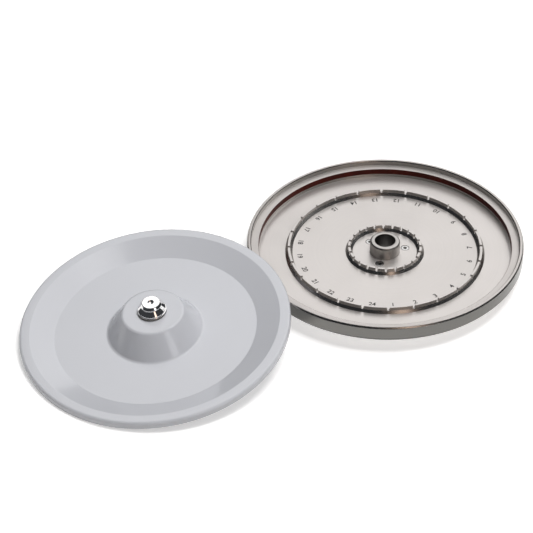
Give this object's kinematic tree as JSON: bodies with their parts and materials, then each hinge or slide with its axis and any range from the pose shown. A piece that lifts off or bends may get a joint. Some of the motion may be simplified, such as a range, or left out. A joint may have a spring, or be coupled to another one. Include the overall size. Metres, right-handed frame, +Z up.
{
  "type": "hematocrit rotor",
  "caption": "Round shallow aluminium pan with two slotted rings, a cushion strip and a bored hub, beside its domed plastic lid with a turning metal knob.",
  "frame": {"origin": "centre of the hub's lower face, on the bore's axis, at the level of the surface that the pan stands on", "axes": "+Z up along the bore; the first slot is nearly at -Y; the lid lies towards -X and -Y"},
  "size_m": [0.3291, 0.2698, 0.036],
  "materials": {
    "pan_metal": "turned, with fine concentric marks",
    "cushion_silicone": "smooth dull silicone",
    "hub_metal": "turned steel",
    "screw_steel": "plain steel",
    "lid_plastic": "smooth moulded, half gloss",
    "bush_metal": "turned aluminium",
    "knob_chrome": "polished chrome",
    "stud_steel": "turned steel",
    "ring_steel": "spring steel"
  },
  "bodies": {
    "rotor": {"rotor_pan": "pan_metal", "cushion_ring": "cushion_silicone", "hub": "hub_metal", "hub_screw_1": "screw_steel", "hub_screw_2": "screw_steel", "hub_screw_3": "screw_steel", "lid_shell": "lid_plastic", "lid_bush": "bush_metal"},
    "knob": {"lid_knob": "knob_chrome", "knob_stud": "stud_steel", "retaining_ring": "ring_steel"}
  },
  "joints": [
    {"name": "knob_turn", "type": "hinge", "parent": "rotor", "child": "knob", "pos_m": [-0.14741, -0.08822, 0.01177], "axis": [-0.0846, -0.1012, 0.9913], "continuous": true}
  ]
}
